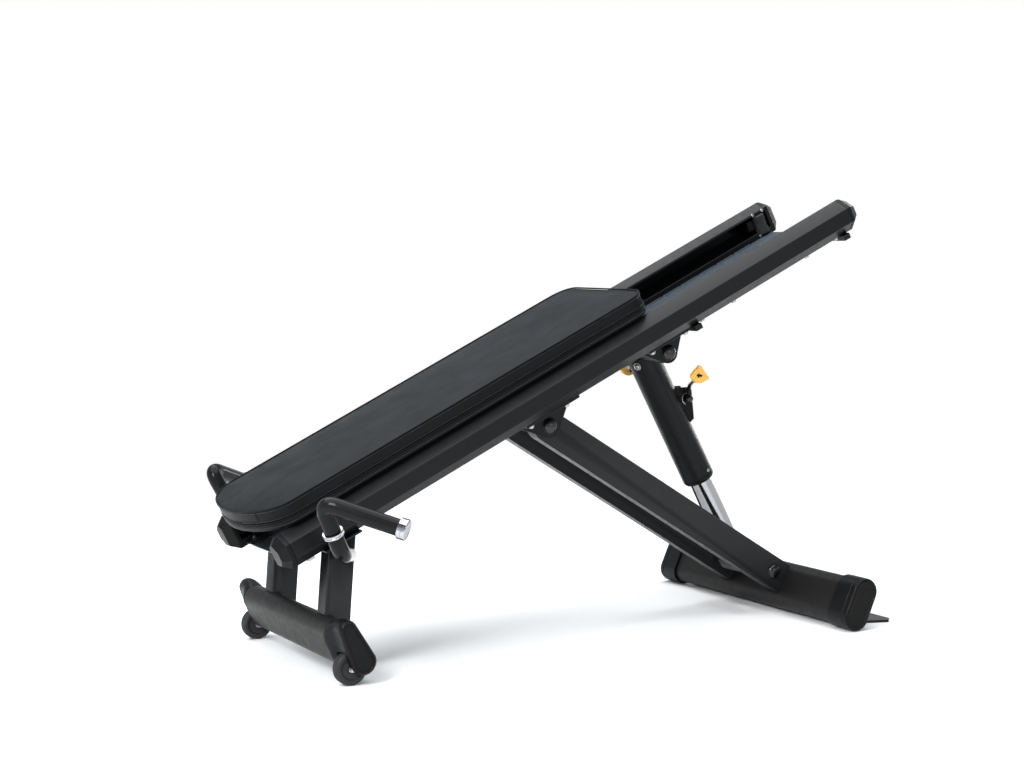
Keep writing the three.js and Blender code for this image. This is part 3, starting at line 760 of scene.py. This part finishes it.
def low_end_latch():
    """Small zinc latch plates under the pad's low end, tying the rails' lower ends to the tray."""
    low = [(36, 1), (84, 1), (84, 4), (36, 4)]
    plates = [extruded([(s * MM, UNDER + (h + 4) * MM) for s, h in low], side * 118 * MM - 20 * MM,
                       side * 118 * MM + 20 * MM, 0.8 * MM) for side in (-1, 1)]
    clips = []
    for side in (-1, 1):
        y = side * 176 * MM
        clips.append(extruded([(58 * MM, UNDER), (80 * MM, UNDER), (78 * MM, UNDER - 8 * MM),
                               (62 * MM, UNDER - 8 * MM)], y - 8 * MM, y + 8 * MM, 1.6 * MM))
    piece("low_end_clips", merged(*plates, *clips), "frame", "plain_steel", RAIL.matrix)


PIN_END = 137.4 * MM                                 # the pivot pins' shafts end here, at the caps


def build_rails():
    for name, _ in SIDES:
        soften(f"rail_{name}", "rail_coat", [(1.4 * MM, 3, 0.5), (0.6 * MM, 2, 5 * MM)])
        for end in ("low", "top"):
            soften(f"{end}_end_cap_{name}", "moulded_plastic", [(1.6 * MM, 3, 6 * MM)])
        for bracket in ("arm_bracket", "column_bracket"):
            soften(f"{bracket}_{name}", "frame_coat", [(1.2 * MM, 3, 4 * MM)])
    tray = soften("rail_tray", "tray_finish", [(0.7 * MM, 2, 8 * MM)])
    tray.data.materials.append(MATERIALS["frame_coat"])
    for face in tray.data.polygons:
        if (face.center - RAIL.origin).dot(RAIL.w) < UNDER - 0.2 * MM:
            face.material_index = 1
    soften("leg_head_plate", "frame_coat", [(1 * MM, 2, 4 * MM)])
    tray_segments()
    rail_screws()
    inner_screws()
    end_bumpers()
    low_end_latch()
    for node in ("arm_pivot_pin", "column_pivot_pin"):
        low, high = RAIL.span(node)
        centre = (low + high) / 2
        shaft = lathe(mm((12, -132), (12.5, -131), (12.5, 131), (12, 132)), centre, (0, 1, 0))
        caps = [domed_cap(centre + Vector((0, side * PIN_END, 0)), (0, side, 0), 19.5 * MM, 13.5 * MM)
                for side in (-1, 1)]
        formed(node, merged(shaft, *caps), "domed_plastic", RAIL.matrix)


# ---- front foot --------------------------------------------------
WHEEL_R = WHEEL.z
CHEEK_TOP, CHEEK_TOP_R = (-12 * MM, 127 * MM), 22 * MM
CHEEK_BOTTOM, CHEEK_BOTTOM_R = (23 * MM, 53 * MM), 31 * MM
BEAM_TOP, BEAM_BOTTOM, BEAM_R = (-13 * MM, 108 * MM), (6 * MM, 67 * MM), 32 * MM


def front_cap(name, side):
    """A moulded foot end: smooth strap round the beam, raised rim, sunken cheek and a slot for the wheel."""
    low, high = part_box(f"front_foot_cap_{name}")
    inner, outer = min(abs(low.y), abs(high.y)), max(abs(low.y), abs(high.y))
    profile = [(inner, 0, -9), (inner, 0, -2.5), (inner + 1.2 * MM, 0, -0.6), (inner + 4 * MM, 0.03, 0),
               (inner + 14 * MM, 0.3, 0), (inner + 28 * MM, 0.8, 0), (inner + 40 * MM, 1, 0),
               (outer - 13 * MM, 1, 0), (outer - 7 * MM, 1, -1.0), (outer - 3 * MM, 1, -3.2),
               (outer - 0.8 * MM, 1, -5.4), (outer, 1, -7.4), (outer - 0.3 * MM, 1, -8.6),
               (outer - 1.6 * MM, 1, -9.4), (outer - 2.6 * MM, 1, -10), (outer - 3 * MM, 1, -11.5),
               (outer - 2.2 * MM, 1, -14.5)]
    rings = []
    for y, share, grow in profile:
        inboard = belt(BEAM_TOP, BEAM_BOTTOM, BEAM_R + grow * MM)
        cheek = belt(CHEEK_TOP, CHEEK_BOTTOM, CHEEK_TOP_R + grow * MM, CHEEK_BOTTOM_R + grow * MM)
        rings.append([Vector((WHEEL.x, side * y, 0)) + Vector((*a, 0)).lerp(Vector((*b, 0)), share).xzy
                      for a, b in zip(inboard, cheek)])
    body = formed(f"front_foot_cap_{name}", skin(rings), "moulded_plastic", weighted=False)
    slot = lathe([(WHEEL_R + 4 * MM, -16.5 * MM), (WHEEL_R + 4 * MM, 16.5 * MM)],
                 (WHEEL.x, side * abs(WHEEL.y), WHEEL_R), (0, 1, 0), 56)
    cutter = linked("slot_cutter", slot)
    cut = body.modifiers.new("wheel_slot", "BOOLEAN")
    cut.operation, cut.solver, cut.object = "DIFFERENCE", "EXACT", cutter
    depsgraph = bpy.context.evaluated_depsgraph_get()
    shaped = bpy.data.meshes.new_from_object(body.evaluated_get(depsgraph))
    body.modifiers.clear()
    body.data = shaped
    shaped.set_sharp_from_angle(angle=math.radians(38))
    body.modifiers.new("even_normals", "WEIGHTED_NORMAL").keep_sharp = True
    bpy.data.objects.remove(cutter)


def foot_ribs():
    """Ridged rubber grips let into the foot ends behind the wheels."""
    ribs = []
    for _, side in SIDES:
        for i in range(11):
            t = math.radians(-62 + i * 8)
            out = Vector((math.cos(t), 0, math.sin(t)))
            centre = Vector((WHEEL.x + CHEEK_BOTTOM[0], 0, CHEEK_BOTTOM[1]))
            centre += out * (CHEEK_BOTTOM_R - 0.4 * MM)
            for y0, y1 in ((268, 277), (312, 319)):
                path = [centre + ACROSS * side * y * MM for y in (y0, y0 + 1.5, y1 - 1.5, y1)]
                ribs.append(tube(path, lambda t: 1.5 * MM if 0.2 < t < 0.8 else 0.7 * MM, 8))
    piece("front_foot_grips", merged(*ribs), "frame", "rubber_tread")


def wheel(name, side):
    """A solid tyre with shallow tread grooves on a turned hub with recessed faces."""
    width = 15 * MM
    half = [(9 * MM, width - 3 * MM), (13 * MM, width - 2.2 * MM), (14 * MM, width - 3.6 * MM),
            (23 * MM, width - 4.6 * MM), (25 * MM, width - 3.4 * MM), (26.5 * MM, width - 0.6 * MM),
            (31 * MM, width), (34 * MM, width - 1 * MM), (36.2 * MM, width - 3.4 * MM),
            (WHEEL_R - 0.2 * MM, width - 6.5 * MM), (WHEEL_R, 6 * MM), (WHEEL_R - 1 * MM, 5.4 * MM),
            (WHEEL_R - 1 * MM, 3.6 * MM), (WHEEL_R, 3 * MM)]
    profile = [(r, -d) for r, d in half] + [(r, d) for r, d in reversed(half)]
    centre = (WHEEL.x, side * abs(WHEEL.y), WHEEL_R)
    formed(f"front_wheel_{name}", turned_ring(profile + profile[:1], centre, (0, 1, 0), 72), "rubber_tread")


def weld(path, body, name):
    """A rippled weld bead."""
    bead = tube(rounded_path(path, 6 * MM, 6), 2.6 * MM, 10)
    for v in bead.verts:
        v.co += noise.noise_vector(v.co * 320) * 0.7 * MM
    piece(name, bead, body, "frame_coat", crease=80, weighted=False)


def leg_welds():
    """Beads where the legs meet the front beam."""
    beam_low, beam_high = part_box("front_foot_beam")
    centre = Vector((beam_low.x + BEAM_R, 0, beam_high.z - BEAM_R))
    for name, _ in SIDES:
        low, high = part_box(f"front_leg_{name}")

        def on_beam(x, y):
            rise = math.sqrt(max(0.0, BEAM_R ** 2 - (x - centre.x) ** 2))
            return Vector((x, y, centre.z + rise + 0.6 * MM))
        x0, x1 = low.x + 5 * MM, centre.x + BEAM_R - 2 * MM
        path = [on_beam(x1, low.y), on_beam((x0 + x1) / 2, low.y), on_beam(x0, low.y), on_beam(x0, high.y),
                on_beam((x0 + x1) / 2, high.y), on_beam(x1, high.y)]
        weld(path, "frame", f"leg_weld_{name}")


def build_front():
    for name, side in SIDES:
        soften(f"front_leg_{name}", "frame_coat", [(4 * MM, 4, 0.12), (0.8 * MM, 2, 5 * MM)])
        front_cap(name, side)
        wheel(name, side)
        carried(f"wheel_axle_{name}", "plain_steel")
    soften("front_foot_beam", "foot_coat", [(1 * MM, 2, 6 * MM)])
    foot_ribs()
    leg_welds()


# ---- handles -----------------------------------------------------
HANDLE_R = 19 * MM
POST_TOP, RING, CORNER, COLLAR_R = 90 * MM, 12 * MM, 141 * MM, 24 * MM
ROOT = Vector((46, 190.4, 271)) * MM                 # where the post leaves the leg, from the wheel's middle


def handle(name, side):
    axis = Vector(JOINTS[f"handle_{name}_swivel"]["axis"])
    axis *= 1 if axis.z > 0 else -1
    elbow = Vector(JOINTS[f"handle_{name}_swivel"]["pos_m"])
    end_cap = middle(f"handle_cap_{name}")
    grip = (end_cap - elbow).normalized()
    grip_length = (end_cap - elbow).length - 10.4 * MM
    root = Vector((WHEEL.x + ROOT.x, side * ROOT.y, ROOT.z))

    post = rounded_path([root, elbow - axis * CORNER, elbow - axis * (POST_TOP + 0.4 * MM)], 44 * MM, 20)
    formed(f"handle_post_{name}", tube(post, HANDLE_R, 40), "gloss_black")
    ring_low = elbow - axis * (POST_TOP - 0.4 * MM)
    r = COLLAR_R
    ring = lathe([(r - 6 * MM, 0), (r - 0.9 * MM, 0.2 * MM), (r, 1.4 * MM), (r, 4.6 * MM),
                  (r - 1.1 * MM, 5.4 * MM), (r - 1.1 * MM, 6.2 * MM), (r, 7 * MM), (r, 9.8 * MM),
                  (r - 0.9 * MM, 11 * MM), (r - 6 * MM, 11.2 * MM)], ring_low, axis)
    pin = lathe(mm((11, -24), (12, -23), (12, 34), (11, 35)), ring_low, axis, 28)
    formed(f"swivel_pin_{name}", merged(ring, pin), "chrome_plate")
    start = elbow - axis * (POST_TOP - RING - 0.4 * MM)
    bar = rounded_path([start, elbow, elbow + grip * grip_length], 42 * MM, 20)
    formed(f"press_handle_{name}", tube(bar, HANDLE_R, 40), "gloss_black")
    cap = lathe([(r - 4 * MM, -9.6 * MM), (r - 0.8 * MM, -9.4 * MM), (r, -8.4 * MM), (r, -1 * MM),
                 (r - 0.7 * MM, -0.4 * MM), (r - 0.7 * MM, 0.6 * MM), (r, 1.2 * MM), (r, 8.2 * MM),
                 (r - 1.4 * MM, 9.8 * MM), (r - 5 * MM, 10 * MM), (r - 6.5 * MM, 8.8 * MM),
                 (2 * MM, 8.4 * MM)], end_cap, grip)
    formed(f"handle_cap_{name}", cap, "chrome_plate")


# ---- rear support ------------------------------------------------
REAR_CAP_R = 35 * MM


def rear_cap(name, side):
    """The rear beam's moulded end: a close-fitting sleeve with a parting groove and a rolled rim."""
    low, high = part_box(f"rear_foot_cap_{name}")
    outer, inner = max(abs(low.y), abs(high.y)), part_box("rear_foot_beam")[1].y + 0.4 * MM
    r = REAR_CAP_R
    bottom, top = (low.x + r, low.z + r), (high.x - r, high.z - r)
    profile = [(inner, -5), (inner, -1.4), (inner + 1.4 * MM, 0), (inner + 30 * MM, 0), (outer - 22 * MM, 0),
               (outer - 20.8 * MM, -0.9), (outer - 19.6 * MM, 0), (outer - 7 * MM, 0), (outer - 4 * MM, -0.9),
               (outer - 1.6 * MM, -3), (outer - 0.5 * MM, -5.4), (outer, -8.4), (outer - 0.6 * MM, -10.4),
               (outer - 1.8 * MM, -11.4), (outer - 2.2 * MM, -13), (outer - 2.2 * MM, -22)]
    rings = [[Vector((s, side * y, h)) for s, h in belt(bottom, top, r + grow * MM, steps=18)]
             for y, grow in profile]
    formed(f"rear_foot_cap_{name}", skin(rings), "moulded_plastic")


def arm_fasteners():
    """Domed pivot caps at the arms' lower ends."""
    outer = -ARM.span("support_arm_near")[0].y
    reach = (ARM_AIM - PIVOT_A).length
    caps = [domed_cap((reach + 6 * MM, side * (outer + 0.4 * MM), 2 * MM), (0, side, 0), 18.5 * MM, 12 * MM)
            for side in (-1, 1)]
    piece("arm_end_caps", merged(*caps), "rear_support", "domed_plastic", ARM.matrix)


def build_rear():
    for name, side in SIDES:
        soften(f"support_arm_{name}", "frame_coat", [(3.6 * MM, 5, 0.3), (0.7 * MM, 2, 12 * MM)])
        rear_cap(name, side)
    soften("rear_foot_beam", "foot_coat", [(1 * MM, 2, 5 * MM)])
    soften("rear_foot_plate", "frame_coat", [(1.6 * MM, 3, 4 * MM)])
    arm_fasteners()


# ---- column and release ------------------------------------------
def column_tubes():
    """The outer tube with its pivot hub, and the bushing at its mouth."""
    soften("column_outer_tube", "frame_coat", [(1.6 * MM, 3, 3 * MM)])
    soften("column_inner_tube", "chrome_plate", [(0.8 * MM, 2, 2 * MM)])
    end = COLUMN.span("column_outer_tube")[1].x
    profile = [(r * MM, end + d * MM) for r, d in (
        (29.6, 0.4), (40.4, 0.4), (41, 1.2), (41, 7), (40, 11), (37.4, 14.6), (33, 16), (29.6, 15.6),
        (29.6, 0.4))]
    lip = turned_ring(profile, (0, 0, 0), (1, 0, 0), 64)
    formed("column_collar", lip, "moulded_plastic", COLUMN.matrix)
    t = math.radians(20)
    out = Vector((0, -math.cos(t), math.sin(t)))
    screws = [socket_screw(Vector((end - 8 * MM, 0, 0)) + out * 40.8 * MM, out, 4.6 * MM, 2.4 * MM)]
    for side in (-1, 1):
        out = Vector((0, side * 0.5, -0.866))
        screws.append(socket_screw(Vector((27 * MM, 0, 0)) + out * 40.6 * MM, out, 7.5 * MM, 5 * MM, 10 * MM))
    piece("column_screws", merged(*screws), "column_outer", "plain_steel", COLUMN.matrix)


def release_details():
    """Domed hub caps, a return spring round the hub, and the arrows on the paddles."""
    hub = COLUMN.span("lever_bracket")
    ends = 38.2 * MM
    lever = Vector(JOINTS["release_pull"]["pos_m"]) - COLUMN.origin
    s, h = lever.dot(COLUMN.u), lever.dot(COLUMN.w)
    caps = [domed_cap((s, side * ends, h), (0, side, 0), 10 * MM, 7 * MM) for side in (-1, 1)]
    rims = []
    for side in (-1, 1):
        arc = [Vector((s + 15 * MM * math.cos(t), side * (hub[1].y + 1 * MM), h + 15 * MM * math.sin(t)))
               for t in (math.radians(150 + 10 * k) for k in range(17))]
        rims.append(tube(arc, 1.4 * MM, 10))
    piece("release_hub_caps", merged(*caps), "release", "domed_plastic", COLUMN.matrix)
    piece("release_spring_ends", merged(*rims), "column_outer", "plain_steel", COLUMN.matrix)
    for name, side in SIDES:
        low, high = COLUMN.span(f"lever_paddle_{name}")
        centre = (low + high) / 2
        face = side * max(abs(low.y), abs(high.y))
        way = Vector((-0.55, 0, -0.84))
        other = Vector((-way.z, 0, way.x))
        shape = [(12, 0), (1, 8.5), (2.2, 3.4), (-9, 3.4), (-9, -3.4), (2.2, -3.4), (1, -8.5)]
        rings = []
        for y in (face - side * 0.5 * MM, face + side * 0.5 * MM):
            rings.append([Vector((centre.x, y, centre.z)) + way * (a * MM * 0.8) + other * (b * MM * 0.8)
                          for a, b in shape])
        piece(f"paddle_arrow_{name}", skin(rings), "release", "moulded_plastic", COLUMN.matrix)


def build_column():
    column_tubes()
    soften("column_eye", "frame_coat", [(1.2 * MM, 3, 4 * MM)])
    soften("lower_cross_shaft", "chrome_plate", [(1.2 * MM, 3, 2 * MM)])
    soften("lever_bracket", "moulded_plastic", [(0.9 * MM, 2, 4 * MM)])
    soften("release_lever", "gloss_black", [(0.4 * MM, 2, 6 * MM)])
    soften("lock_pin", "plain_steel", [(0.6 * MM, 2, 2 * MM)])
    for name, _ in SIDES:
        soften(f"lever_paddle_{name}", "yellow_grip", [(2.2 * MM, 4, 1 * MM)])
    release_details()
    for node, finish in (("gas_spring_cylinder", "gloss_black"), ("gas_spring_rod", "chrome_plate")):
        carried(node, finish)


# ---- carriage ----------------------------------------------------
def roller(place, name):
    """A rail roller: a hard tyre on a hub with a recessed face."""
    joint = JOINTS[f"{place}_roller_{name}_spin"]
    centre, half = Vector(joint["pos_m"]), 12 * MM
    profile = [(8.6, 9), (12, 9), (12.6, 7.5), (21, 7.5), (22.5, 9.5), (26, 11.6), (28.5, 10.6), (30, 8)]
    ring = [(r * MM, -d * MM) for r, d in profile] + [(r * MM, d * MM) for r, d in reversed(profile)]
    bm = turned_ring([(r, max(-half, min(half, d))) for r, d in ring + ring[:1]], centre, (0, 1, 0), 56)
    formed(f"{place}_roller_{name}", bm, "moulded_plastic")


def build_carriage():
    soften("carriage_frame", "frame_coat", [(1 * MM, 2, 5 * MM)])
    for place in ("low", "high"):
        carried(f"{place}_roller_axle", "plain_steel")
        for name, _ in SIDES:
            roller(place, name)


# ---- studio ------------------------------------------------------
CAMERA_AT = Vector((WHEEL.x - 1.6519, -4.2722, 0.9898))
YAW, PITCH, ROLL = math.radians(27.46), math.radians(-4.40), math.radians(-1.0)
LENS_MM = 69.46


def camera():
    forward = Vector((math.sin(YAW) * math.cos(PITCH), math.cos(YAW) * math.cos(PITCH), math.sin(PITCH)))
    level = Vector((math.cos(YAW), -math.sin(YAW), 0))
    up = level.cross(forward)
    right = level * math.cos(ROLL) + up * math.sin(ROLL)
    up = up * math.cos(ROLL) - level * math.sin(ROLL)
    data = bpy.data.cameras.new("camera")
    data.lens, data.sensor_width = LENS_MM, 36
    obj = bpy.data.objects.new("camera", data)
    turn = Matrix((right, up, -forward)).transposed().to_4x4()
    obj.matrix_world = Matrix.Translation(CAMERA_AT) @ turn
    bpy.context.scene.collection.objects.link(obj)
    bpy.context.scene.camera = obj


def area_light(name, at, target, size, power):
    data = bpy.data.lights.new(name, "AREA")
    data.shape, (data.size, data.size_y) = "RECTANGLE", size
    data.energy = power
    obj = bpy.data.objects.new(name, data)
    obj.location = at
    obj.rotation_euler = (Vector(target) - Vector(at)).to_track_quat("-Z", "Y").to_euler()
    bpy.context.scene.collection.objects.link(obj)


def world():
    """White round the horizon, cooler and dimmer higher up, and nearly dark overhead."""
    scene = bpy.context.scene
    scene.world = bpy.data.worlds.new("studio")
    scene.world.use_nodes = True
    nodes, links = scene.world.node_tree.nodes, scene.world.node_tree.links
    coords = nodes.new("ShaderNodeTexCoord")
    split = nodes.new("ShaderNodeSeparateXYZ")
    ramp = nodes.new("ShaderNodeValToRGB")
    links.new(coords.outputs["Generated"], split.inputs["Vector"])
    links.new(split.outputs["Z"], ramp.inputs["Fac"])
    stops = ((0.0, (1.0, 1.0, 1.0)), (0.14, (1.0, 1.0, 1.0)), (0.24, (0.62, 0.70, 0.76)),
             (0.42, (0.30, 0.37, 0.42)), (0.62, (0.12, 0.14, 0.16)), (1.0, (0.04, 0.045, 0.05)))
    elements = ramp.color_ramp.elements
    while len(elements) < len(stops):
        elements.new(0.5)
    for element, (place, colour) in zip(elements, stops):
        element.position, element.color = place, (*colour, 1)
    background = next(n for n in nodes if n.type == "BACKGROUND")
    links.new(ramp.outputs["Color"], background.inputs["Color"])
    background.inputs["Strength"].default_value = 1.0


def floor_material():
    """A matt white floor that brightens into the white of the studio's walls a few metres out."""
    shader = Shader("floor", Roughness=0.6, Specular_IOR_Level=0.15)
    shader.colour(shader.blend(shader.noise(1.5, 2), (0.86, 0.865, 0.87), (0.88, 0.885, 0.89)))
    reach = shader.nodes.new("ShaderNodeVectorMath")
    reach.operation = "LENGTH"
    shader.links.new(shader.coords, reach.inputs[0])
    far = shader.span(reach.outputs["Value"], 0, 1, 1.5, 4.0)
    glow = shader.nodes.new("ShaderNodeEmission")
    glow.inputs["Strength"].default_value = 1.0
    mix = shader.nodes.new("ShaderNodeMixShader")
    output = next(n for n in shader.nodes if n.type == "OUTPUT_MATERIAL")
    shader.links.new(far, mix.inputs["Fac"])
    shader.links.new(shader.bsdf.outputs["BSDF"], mix.inputs[1])
    shader.links.new(glow.outputs["Emission"], mix.inputs[2])
    shader.links.new(mix.outputs["Shader"], output.inputs["Surface"])
    return shader.material


def studio():
    bm = bmesh.new()
    bmesh.ops.create_grid(bm, x_segments=2, y_segments=2, size=40)
    floor = linked("floor", bm)
    floor.data.materials.append(floor_material())
    world()
    area_light("overhead", (-0.4, 0.4, 4.2), (0, 0, 0), (6.0, 6.0), 440)
    area_light("left_front", (-3.2, -1.6, 2.6), (-0.3, 0, 0.5), (1.2, 1.6), 160)
    area_light("front_fill", (1.6, -5.5, 1.6), (0, 0, 0.5), (3.0, 1.8), 24)
    area_light("right_rim", (3.4, 1.6, 1.6), (0.4, 0, 0.5), (0.8, 2.2), 40)
    bpy.context.scene.view_settings.view_transform = "Standard"


# ---- build -------------------------------------------------------
camera()
studio()
build_pad()
build_rails()
build_front()
for handle_name, handle_side in SIDES:
    handle(handle_name, handle_side)
build_rear()
build_column()
build_carriage()
